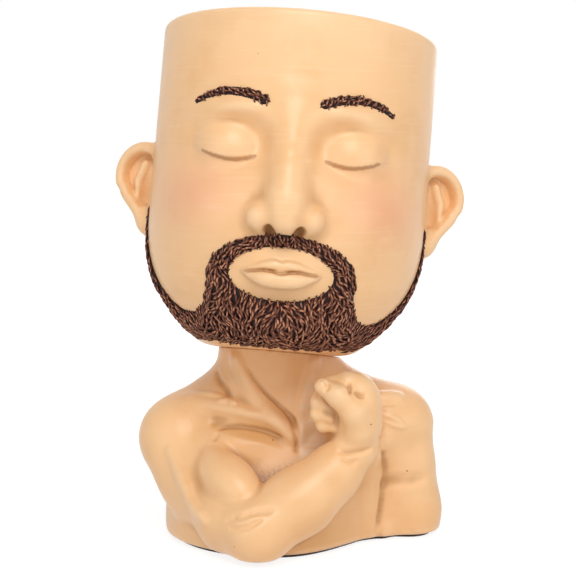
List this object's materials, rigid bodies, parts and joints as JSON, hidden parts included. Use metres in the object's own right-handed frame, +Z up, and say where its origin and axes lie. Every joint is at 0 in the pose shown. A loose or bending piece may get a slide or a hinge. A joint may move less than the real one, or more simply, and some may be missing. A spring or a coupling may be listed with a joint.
{
  "type": "head planter",
  "caption": "Bust-shaped planter: a hollow bearded head open at the crown holds a plant, on a bust with one arm crossed over its chest and a stoppered drain.",
  "frame": {"origin": "on the table, under the planter, on the underside of the felt pad", "axes": "+Z up, the face looks along -Y, +X is the viewer's right"},
  "size_m": [0.1339, 0.1256, 0.1982],
  "materials": {
    "skin_paint": "hand-painted resin, satin",
    "hair_paint": "hand-painted resin with dry-brushed ridges",
    "felt": "pressed felt",
    "stopper_rubber": "matt moulded rubber"
  },
  "bodies": {
    "planter": {"head_pot": "skin_paint", "beard": "hair_paint", "moustache": "hair_paint", "right_eyebrow": "hair_paint", "left_eyebrow": "hair_paint", "bust": "skin_paint", "crossed_arm": "skin_paint", "base_pad": "felt"},
    "stopper": {"drain_stopper": "stopper_rubber"}
  },
  "joints": [
    {"name": "stopper_lift", "type": "slide", "parent": "planter", "child": "stopper", "axis": [0, 0, 1], "range_m": [0, 0.13]}
  ]
}
